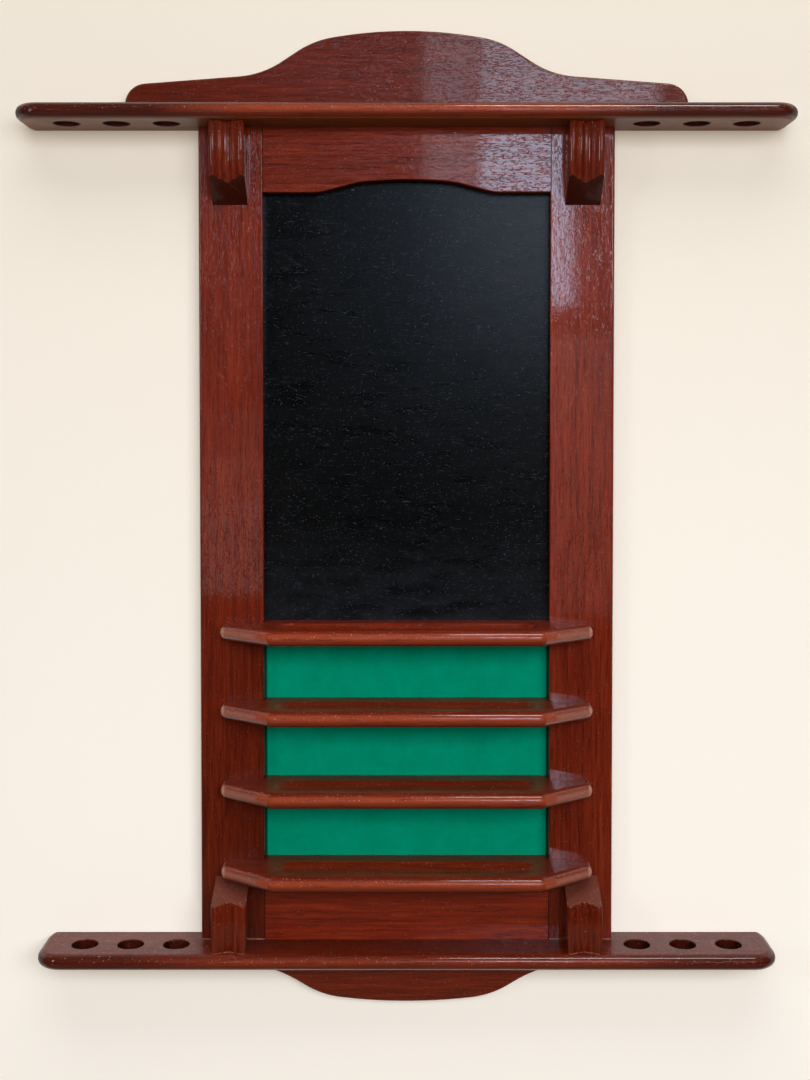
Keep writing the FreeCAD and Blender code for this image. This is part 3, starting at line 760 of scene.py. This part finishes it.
@dataclass(frozen=True)
class ScrewSize:
    """Sizes of one countersunk wood screw, in millimetres."""

    shank: float
    head: float
    head_height: float
    length: float
    pitch: float


class Aim(Enum):
    """The way that a screw's head faces."""

    BACK = (0.0, 1.0, 0.0)
    UP = (0.0, 0.0, 1.0)
    DOWN = (0.0, 0.0, -1.0)


@dataclass
class Screws:
    """All the wood screws, with a thread and a cross recess in shares of each screw's sizes."""

    rail: ScrewSize = ScrewSize(5.0, 9.6, 2.8, 60.0, 2.5)
    corbel: ScrewSize = ScrewSize(5.0, 9.6, 2.8, 50.0, 2.5)
    ear: ScrewSize = ScrewSize(4.0, 7.8, 2.3, 45.0, 2.0)
    shelf: ScrewSize = ScrewSize(3.5, 6.8, 2.0, 30.0, 1.8)
    panel: ScrewSize = ScrewSize(3.0, 5.8, 1.7, 14.0, 1.5)
    hanger: ScrewSize = ScrewSize(3.0, 5.8, 1.5, 16.0, 1.5)
    turns_seed: int = 7
    sides: int = 20
    rows_per_turn: int = 5
    plain_share: float = 0.34
    thread_depth: float = 0.3
    tip_length: float = 2.4
    tip_radius: float = 0.06
    cross_span: float = 1.2
    cross_width: float = 0.28
    cross_depth: float = 1.4
    smooth_angle: float = math.radians(50)

    def tree(self) -> Recipe:
        """Tree that stands a screw on each point, with its head along the point's aim."""
        labels = ("Shank Radius", "Head Radius", "Head Height", "Length", "Pitch")
        recipe = Recipe("wood_screw", {**dict.fromkeys(labels, "NodeSocketFloat"),
                                       "Rows": "NodeSocketInt"})
        shank, head, head_height, length, pitch = recipe.read(*labels)
        calc, times, plus, less = recipe.tools()
        body = recipe.add("GeometryNodeMeshCylinder", {
            "Vertices": self.sides, "Side Segments": recipe.given["Rows"], "Radius": 1.0,
            "Depth": length}).outputs["Mesh"]
        place = recipe.point()
        down = less(times(length, 0.5), place["Z"])
        cone = recipe.levels(down, 0.0, head_height, head, shank)
        angle = calc("DIVIDE", calc("ARCTAN2", place["Y"], place["X"]), 2 * math.pi)
        phase = calc("FRACT", plus(angle, calc("DIVIDE", down, pitch)))
        wedge = times(calc("ABSOLUTE", less(phase, 0.5)), 2.0)
        crest = times(wedge, wedge)
        begins = times(length, self.plain_share)
        threaded = recipe.levels(down, begins, plus(begins, pitch))
        hollow = times(less(1.0, crest), self.thread_depth, threaded)
        narrows = less(length, times(shank, self.tip_length))
        tip = recipe.levels(down, narrows, length, 1.0, self.tip_radius)
        radius = times(cone, less(1.0, hollow), tip)
        body = recipe.placed(body, recipe.vector(
            times(place["X"], radius), times(place["Y"], radius), times(down, -1.0)))
        span = times(head, self.cross_span)
        width = times(head, self.cross_width)
        depth = times(head_height, self.cross_depth)
        bars = [recipe.block(recipe.vector(span, width, depth), (0.0, 0.0, 0.0), (0.0, 0.0, turn))
                for turn in (0.0, math.pi / 2)]
        screw = recipe.carved(body, bars)
        screw = recipe.add("GeometryNodeSetShadeSmooth", {
            "Geometry": screw, "Shade Smooth": True}).outputs[0]
        aim = recipe.add("GeometryNodeInputNamedAttribute", {"Name": "aim"},
                         data_type="FLOAT_VECTOR").outputs["Attribute"]
        facing = recipe.add(
            "FunctionNodeAlignRotationToVector", {"Vector": aim}, axis="Z").outputs[0]
        spin = recipe.add("FunctionNodeRandomValue", {"Seed": self.turns_seed}, data_type="FLOAT")
        spin.inputs[2].default_value, spin.inputs[3].default_value = 0.0, math.pi
        spin = recipe.add("FunctionNodeAxisAngleToRotation", {
            "Axis": (0.0, 0.0, 1.0), "Angle": spin.outputs[1]}).outputs[0]
        turn = recipe.add("FunctionNodeRotateRotation", {
            "Rotation": facing, "Rotate By": spin}, rotation_space="LOCAL").outputs[0]
        recipe.close(recipe.add("GeometryNodeInstanceOnPoints", {
            "Points": recipe.given["Geometry"], "Instance": screw, "Rotation": turn}).outputs[0])
        return recipe

    def build_set(self, recipe: Recipe, node: str, size: ScrewSize, aim: Aim,
                  heads: Sequence[Point], finish: Material) -> None:
        """Make the screws of one node.

        Args:
            recipe: The screw's tree.
            node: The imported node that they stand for.
            size: Their size.
            aim: The way that their heads face.
            heads: Middle of each head's face, in millimetres.
            finish: Their material.
        """
        points = [[v * MM for v in head] for head in heads]
        piece = piece_from("threaded_" + node, points, [], finish)
        aims = piece.data.attributes.new("aim", "FLOAT_VECTOR", "POINT")
        aims.data.foreach_set("vector", list(aim.value) * len(heads))
        recipe.grow(piece, {
            "Shank Radius": size.shank / 2 * MM, "Head Radius": size.head / 2 * MM,
            "Head Height": size.head_height * MM, "Length": size.length * MM,
            "Pitch": size.pitch * MM, "Finish": finish,
            "Rows": round(size.length / size.pitch * self.rows_per_turn)})
        piece.data.set_sharp_from_angle(angle=self.smooth_angle)
        settle(piece, node)

    def build(self, finish: Material) -> None:
        """Make every screw.

        Args:
            finish: Their material.
        """
        recipe = self.tree()
        sides = (-1, 1)
        shelves = [top - 9.5 for top in SHELF_TOPS]
        rail_xs = [side * (175 + 78 * share) for side in sides for share in (0.325, 0.845)]
        side_heights = (-71.0, -294.65, -544.3, -610.3, -841.6)
        edge = [(side * 180.0, -1.0, z) for side in sides for z in side_heights]
        edge += [(side * 110.25, -1.0, z) for side in sides for z in (-22.0, -879.6)]
        sets = (
            ("upper_rail_screws", self.rail, Aim.UP, [(x, -12.5, 60.2) for x in rail_xs]),
            ("lower_rail_screws", self.rail, Aim.DOWN, [(x, -12.5, -974.0) for x in rail_xs]),
            ("corbel_screws", self.corbel, Aim.BACK,
             [(side * 214.0, 0.0, z) for side in sides for z in (33.0, -915.0)]),
            ("shelf_ear_screws", self.ear, Aim.BACK,
             [(side * 200.0, 0.0, z) for side in sides for z in shelves]),
            ("shelf_back_screws", self.shelf, Aim.BACK,
             [(x, -1.0, z) for z in shelves for x in (-110.25, 0.0, 110.25)]),
            ("panel_screws", self.panel, Aim.BACK, edge),
            ("hanger_screws", self.hanger, Aim.BACK,
             [(side * 214.0, 0.0, z) for side in sides for z in (-12.0, 21.0)]),
        )
        for node, size, aim, heads in sets:
            self.build_set(recipe, node, size, aim, heads, finish)


@dataclass(frozen=True)
class CorbelCut:
    """Place and cuts of one pair of corbels, in millimetres."""

    level: str
    base: float
    upside_down: bool
    front_depth: float
    straight: float
    front_height: float
    rear_height: float
    bore_height: float
    tone: float
    end: Colour


@dataclass
class Corbels:
    """Short lengths of a fluted moulding: straight, then curved back, and cut on a slant."""

    half_width: float = 21.0
    centre_x: float = 214.0
    seat_depth: float = 25.0
    curve_radius: float = 160.0
    horn_width: float = 7.2
    horn_crown: float = 2.0
    horn_inner_drop: float = 0.9
    ledge: float = 3.8
    ledge_outer: float = 9.8
    channel_half: float = 6.4
    channel: float = 7.0
    bore_radius: float = 2.6
    bore_depth: float = 50.3
    bore_sides: int = 24
    spare_depth: float = 3.0
    arris: float = 0.45
    arris_angle: float = math.radians(32)
    smooth_angle: float = math.radians(35)
    cutter: float = 0.2
    boards_before: int = 20
    sweep: float = math.radians(40)
    bend_steps: int = 28
    horn_steps: int = 8
    channel_steps: int = 14
    cuts: Sequence[CorbelCut] = (
        CorbelCut("upper", 41.2, True, 68.0, 23.2, 64.2, 94.7, 8.2, 0.85, srgb(46, 12, 5)),
        # The lower pair's pale end colour is painted light on cut faces that look up.
        CorbelCut("lower", -955.0, False, 75.0, 35.0, 57.0, 79.3, 40.0, 1.0, srgb(112, 60, 48)))

    def arc(self, start: tuple[float, float], middle: tuple[float, float],
            stop: tuple[float, float], steps: int) -> list[tuple[float, float]]:
        """Points of a shallow arc through three places, without its last.

        Args:
            start: Where it starts.
            middle: Where it is half-way.
            stop: Where it ends.
            steps: How many parts it has.

        Returns:
            The points, from its start on.
        """
        shares = [step / steps for step in range(steps)]
        weights = [((1 - t) * (1 - 2 * t), 4 * t * (1 - t), t * (2 * t - 1)) for t in shares]
        return [tuple(a * first + b * second + c * third
                      for first, second, third in zip(start, middle, stop)) for a, b, c in weights]

    def section(self, back: float) -> list[tuple[float, float]]:
        """Plan of the moulding: places across it, and how far each lies behind its front."""
        half, inner = self.half_width, self.half_width - self.horn_width
        middle = half - self.horn_width / 2
        line = [(-half, back)]
        line += self.arc((-half, self.horn_crown), (-middle, 0.0), (-inner, self.horn_inner_drop),
                         self.horn_steps)
        line += [(-inner, self.horn_inner_drop), (-self.ledge_outer, self.ledge)]
        line += self.arc((-self.channel_half, self.ledge), (0.0, self.channel),
                         (self.channel_half, self.ledge), self.channel_steps)
        line += [(self.channel_half, self.ledge), (self.ledge_outer, self.ledge)]
        line += self.arc((inner, self.horn_inner_drop), (middle, 0.0), (half, self.horn_crown),
                         self.horn_steps)
        return line + [(half, self.horn_crown), (half, back)]

    def tree(self) -> Recipe:
        """Tree that bends a straight moulding back along its arc and cuts it to length."""
        labels = ("Front Depth", "Seat Depth", "Curve Radius", "Straight Height", "Front Height",
                  "Rear Height", "Bore Height", "Bore Radius", "Bore Depth")
        recipe = Recipe("bent_moulding", dict.fromkeys(labels, "NodeSocketFloat"))
        (depth, seat_depth, radius, straight, front, rear, bore_height, bore_radius,
         bore_depth) = recipe.read(*labels)
        calc, times, plus, less = recipe.tools()
        place = recipe.point()
        reach = less(radius, place["Y"])
        bend = calc("DIVIDE", calc("MAXIMUM", less(place["Z"], straight), 0.0), radius)
        axis = less(radius, depth)
        height = plus(calc("MINIMUM", place["Z"], straight), times(reach, calc("SINE", bend)))
        away = less(axis, times(reach, calc("COSINE", bend)))
        body = recipe.placed(recipe.given["Geometry"], recipe.vector(place["X"], away, height))
        rise = less(front, straight)
        across = calc("SQRT", less(times(radius, radius), times(rise, rise)))
        run = less(less(across, axis), seat_depth)
        slant = calc("ARCTAN2", less(rear, front), run)
        seat = times(seat_depth, -1.0)
        side, half = self.cutter, self.cutter / 2
        lid = recipe.block((side, side, side), recipe.vector(
            0.0, less(seat, times(calc("SINE", slant), half)),
            plus(rear, times(calc("COSINE", slant), half))), recipe.vector(slant))
        wall = recipe.block((side, side, 3 * side), recipe.vector(0.0, plus(seat, half), 0.0))
        bore = recipe.add("GeometryNodeMeshCylinder", {
            "Vertices": self.bore_sides, "Radius": bore_radius,
            "Depth": times(bore_depth, 2.0)}).outputs["Mesh"]
        bore = recipe.moved(bore, recipe.vector(0.0, 0.0, bore_height), (math.pi / 2, 0.0, 0.0))
        recipe.close(recipe.carved(body, (lid, wall, bore)))
        return recipe

    def moulding(self, name: str, cut: CorbelCut, finish: Material) -> Piece:
        """Straight length of the moulding, from which a corbel is bent.

        Args:
            name: The piece's name.
            cut: The corbel's sizes.
            finish: Its material.

        Returns:
            The straight piece, with its length along Z.
        """
        line = self.section(cut.front_depth - self.seat_depth + self.spare_depth)
        rows = [0.0] + [cut.straight + self.curve_radius * self.sweep * step / self.bend_steps
                        for step in range(self.bend_steps + 1)]
        points = [(x * MM, back * MM, z * MM) for z in rows for x, back in line]
        count = len(line)
        last = count * (len(rows) - 1)
        faces = [tuple(reversed(range(count))), tuple(range(last, last + count))]
        for row in range(len(rows) - 1):
            for place in range(count):
                a, b = row * count + place, row * count + (place + 1) % count
                faces.append((a, b, b + count, a + count))
        return piece_from(name, points, faces, finish)

    def build(self) -> None:
        """Make the four corbels."""
        recipe = self.tree()
        number = self.boards_before
        for cut in self.cuts:
            for side, label in ((-1, "left"), (1, "right")):
                number += 1
                node = "%s_%s_corbel" % (cut.level, label)
                foot = None if cut.upside_down else cut.base * MM
                finish = LacqueredWood("lacquer_" + node, Grain.UPRIGHT, cut_of_log(number),
                                       tone=cut.tone, end=cut.end, glued_foot=foot).build()
                piece = self.moulding("fluted_" + node, cut, finish)
                recipe.grow(piece, {
                    "Front Depth": cut.front_depth * MM, "Seat Depth": self.seat_depth * MM,
                    "Curve Radius": self.curve_radius * MM, "Straight Height": cut.straight * MM,
                    "Front Height": cut.front_height * MM, "Rear Height": cut.rear_height * MM,
                    "Bore Height": cut.bore_height * MM, "Bore Radius": self.bore_radius * MM,
                    "Bore Depth": self.bore_depth * MM, "Finish": finish})
                bevel = piece.modifiers.new("arris", "BEVEL")
                bevel.width = self.arris * MM
                bevel.segments = 2
                bevel.limit_method = "ANGLE"
                bevel.angle_limit = self.arris_angle
                bake(piece)
                turned = -1 if cut.upside_down else 1
                for point in piece.data.vertices:
                    x, y, z = point.co
                    point.co = (x + side * self.centre_x * MM, y, cut.base * MM + turned * z)
                if cut.upside_down:
                    piece.data.flip_normals()
                piece.data.polygons.foreach_set("use_smooth", [True] * len(piece.data.polygons))
                piece.data.set_sharp_from_angle(angle=self.smooth_angle)
                settle(piece, node)


@dataclass
class BaizeCloth:
    """The cloth glued to the board behind the shelves."""

    half_width: float = 184.5
    bottom: float = -884.6
    height: float = 307.3
    back_depth: float = 6.05
    thickness: float = 0.9
    unevenness: float = 0.12
    wave_scale: float = 0.05
    wave_layer: float = 1.7
    columns: int = 90
    rows: int = 76

    def front(self, across: float, up: float) -> float:
        """Depth of the cloth's face at a place on it, in millimetres."""
        scale = self.wave_scale
        wave = noise.noise(Vector((across * scale, up * scale, self.wave_layer)))
        return self.back_depth + self.thickness - self.unevenness * (0.5 + 0.5 * wave)

    def build(self, finish: Material) -> None:
        """Make the cloth as a thin closed sheet.

        Args:
            finish: The cloth's material.
        """
        points, faces = [], []
        width = self.columns + 1
        for layer in (0, 1):
            for row in range(self.rows + 1):
                for column in range(width):
                    x = self.half_width * (2 * column / self.columns - 1)
                    z = self.bottom + self.height * row / self.rows
                    depth = self.front(x, z) if layer == 0 else self.back_depth
                    points.append((x * MM, -depth * MM, z * MM))
        count = width * (self.rows + 1)
        for row in range(self.rows):
            for column in range(self.columns):
                a = row * width + column
                faces.append((a, a + 1, a + width + 1, a + width))
                faces.append(tuple(count + i for i in (a, a + width, a + width + 1, a + 1)))
        top = count - width
        rim = [*range(width), *range(2 * width - 1, count, width), *range(count - 2, top - 1, -1),
               *range(top - width, 0, -width)]
        for here, there in zip(rim, rim[1:] + rim[:1]):
            faces.append((here, count + here, count + there, there))
        cloth = piece_from("baize_sheet", points, faces, finish)
        settle(cloth, "baize_cloth")


@dataclass(frozen=True)
class Lamp:
    """A soft lamp: a lit rectangle that faces a point, or else the wall in front of it."""

    name: str
    centre: Point
    size: tuple[float, float]
    radiance: float
    tint: Point = (1.0, 1.0, 1.0)
    target: Point | None = None
    mirrored: bool = True
    lighting: bool = True

    def build(self) -> None:
        """Make the lamp."""
        data = bpy.data.lights.new(self.name, "AREA")
        data.shape = "RECTANGLE"
        data.size, data.size_y = self.size
        data.energy = math.pi * self.size[0] * self.size[1] * self.radiance
        data.color = self.tint
        lamp = bpy.data.objects.new(self.name, data)
        lamp.location = self.centre
        aim = Vector(self.target or (self.centre[0], 0.0, self.centre[2])) - Vector(self.centre)
        lamp.rotation_euler = aim.to_track_quat("-Z", "Y").to_euler()
        lamp.visible_camera = False
        lamp.visible_glossy = self.mirrored
        lamp.visible_diffuse = self.lighting
        bpy.context.scene.collection.objects.link(lamp)


@dataclass
class Studio:
    """The wall, the floor, the lamps and the camera."""

    wall_y: float = 0.0012
    floor_z: float = -1.45
    reach: float = 4.0
    wall_colour: Colour = srgb(206, 204, 199)
    low_wall_colour: Colour = srgb(249, 250, 250)
    glow_colour: Colour = srgb(255, 227, 192)
    glow: float = 0.205
    stains: Pattern = Pattern(3.0, 3.0)
    texture: Pattern = Pattern(240.0, 2.0)
    stain_colour: Colour = srgb(205, 196, 180)
    floor_colour: Colour = srgb(150, 147, 141)
    lamps: Sequence[Lamp] = field(default_factory=lambda: (
        Lamp("window_top", (0.64, -4.0, 1.05), (0.70, 0.50), 5.3, (0.64, 0.80, 1.0)),
        Lamp("window_foot", (0.475, -4.0, 0.46), (0.37, 0.68), 8.8, (0.55, 0.75, 1.0)),
        Lamp("window_edge", (0.17, -4.0, 0.85), (0.20, 1.0), 2.3, (0.75, 0.86, 1.0)),
        Lamp("ceiling_light", (-0.1, -1.7, 2.3), (3.0, 1.6), 2.7, (1.0, 0.96, 0.90),
             (0.0, 0.0, -0.3), mirrored=False),
        Lamp("front_light", (0.7, -3.4, 0.35), (3.2, 1.3), 7.2, (1.0, 0.96, 0.91),
             (0.0, 0.0, -0.5), mirrored=False),
        Lamp("ceiling_gleam", (0.75, -1.45, 2.3), (1.2, 0.26), 20.0, target=(0.75, 0.0, 0.0),
             lighting=False),
        Lamp("far_gleam", (1.75, -4.0, 0.6), (0.35, 0.9), 13.0, target=(0.0, 0.0, 0.0),
             lighting=False),
        Lamp("side_light", (-2.0, -2.2, 0.2), (0.30, 1.0), 8.0, target=(0.0, 0.0, 0.0)),
        Lamp("left_light_low", (-0.46, -2.0, -0.66), (0.30, 0.24), 0.65),
        Lamp("left_light_middle", (-0.46, -2.0, -0.48), (0.30, 0.12), 0.42),
        Lamp("left_light_high", (-0.46, -2.0, -0.36), (0.30, 0.12), 0.20),
        Lamp("right_light", (0.46, -2.0, -0.47), (0.30, 0.73), 0.38),
        Lamp("rear_light", (0.0, 3.0, -0.5), (2.0, 2.0), 2.4),
    ))
    eye: Point = (0.0, -1.773, -0.3043)
    pitch: float = -1.807
    lens: float = 47.74
    shift: tuple[float, float] = (-0.0015, -0.0769)

    def plane(self, name: str, corners: Sequence[Point], colour: Colour, low_colour: Colour,
              glow: float) -> Piece:
        """Make a flat surface of the surroundings, which is see-through from behind.

        Args:
            name: Its name.
            corners: Its corners in metres, anticlockwise from its front.
            colour: Its paint.
            low_colour: Its paint further down.
            glow: Strength of the light that it shows to the camera alone.

        Returns:
            The surface.
        """
        coat = Coating(name + "_paint")
        paler = coat.levels(coat.axis("Z"), 0.1, -1.1)
        paint = coat.mix(paler, colour, low_colour)
        stains = coat.levels(coat.noise(self.stains), 0.3, 0.7, 0.0, 0.04)
        paint = coat.mix(stains, paint, self.stain_colour)
        texture = coat.relief(coat.noise(self.texture), 0.05, 0.0006)
        seen = coat.times(coat.add("ShaderNodeLightPath").outputs["Is Camera Ray"], glow)
        material = coat.finish({
            "Base Color": paint, "Roughness": 0.9, "Normal": texture, "Specular IOR Level": 0.1,
            "Emission Color": self.glow_colour, "Emission Strength": seen}, clear_behind=True)
        surface = piece_from(name, corners, [(0, 1, 2, 3)], material, smooth=False)
        return surface

    def world(self) -> None:
        """Make the soft surroundings: dark at the horizon, and plain to the camera."""
        world = bpy.data.worlds.new("surroundings")
        bpy.context.scene.world = world
        world.use_nodes = True
        wiring = Wiring(world.node_tree)
        wiring.tree.nodes.clear()
        direction = wiring.add("ShaderNodeTexCoord").outputs["Generated"]
        height = wiring.parts(direction)["Z"]
        above = wiring.levels(height, -0.15, 0.7, 0.002, 0.08)
        below = wiring.levels(height, -0.28, -0.37, 0.0, 0.16)
        rise = wiring.calc("MAXIMUM", above, below)
        seen = wiring.add("ShaderNodeLightPath").outputs["Is Camera Ray"]
        level = wiring.add("ShaderNodeMix", {0: seen, 2: rise, 3: 0.9}, data_type="FLOAT")
        back = wiring.add("ShaderNodeBackground", {
            "Color": srgb(255, 236, 210), "Strength": level.outputs[0]})
        wiring.add("ShaderNodeOutputWorld", {"Surface": back.outputs[0]})

    def camera(self) -> None:
        """Make the camera at the photograph's place and angle."""
        data = bpy.data.cameras.new("camera")
        data.sensor_fit = "AUTO"
        data.sensor_width = 36.0
        data.lens = self.lens
        data.shift_x, data.shift_y = self.shift
        camera = bpy.data.objects.new("camera", data)
        camera.location = self.eye
        camera.rotation_euler = (math.radians(90.0 + self.pitch), 0.0, 0.0)
        bpy.context.scene.collection.objects.link(camera)
        bpy.context.scene.camera = camera

    def build(self) -> None:
        """Make everything round the rack."""
        reach, low, high = self.reach, self.floor_z, self.reach + self.floor_z
        wall = self.plane("wall", [(-reach, self.wall_y, low), (reach, self.wall_y, low),
                                   (reach, self.wall_y, high), (-reach, self.wall_y, high)],
                          self.wall_colour, self.low_wall_colour, self.glow)
        wall.visible_shadow = False
        floor = self.plane("floor", [(-reach, -reach, low), (reach, -reach, low),
                                     (reach, reach, low), (-reach, reach, low)],
                           self.floor_colour, self.floor_colour, 0.0)
        floor.visible_glossy = floor.visible_diffuse = False
        for lamp in self.lamps:
            lamp.build()
        self.world()
        self.camera()
        bpy.context.scene.view_settings.view_transform = "Standard"


def clear_start_up() -> None:
    """Remove what a new file starts with, so that only the rack is there."""
    for thing in list(bpy.data.objects):
        if thing.name in {"Cube", "Light", "Camera"}:
            bpy.data.objects.remove(thing)


def main() -> None:
    """Build the looks piece by piece."""
    logging.basicConfig(level=logging.INFO, format="%(message)s")
    clear_start_up()
    Studio().build()
    WoodenBoards().dress()
    carry("blackboard_panel", BlackboardPaint().build())
    carry("baize_board", PlainBoard().build())
    BaizeCloth().build(Baize().build())
    Corbels().build()
    zinc = ZincSteel().build()
    Screws().build(zinc)
    for name in ("left_hanger_plate", "right_hanger_plate"):
        carry(name, zinc)
    beech = BeechDowel().build()
    for name in ("frame_dowels", "crest_dowels", "apron_dowels"):
        carry(name, beech)


if __name__ == "__main__":
    main()
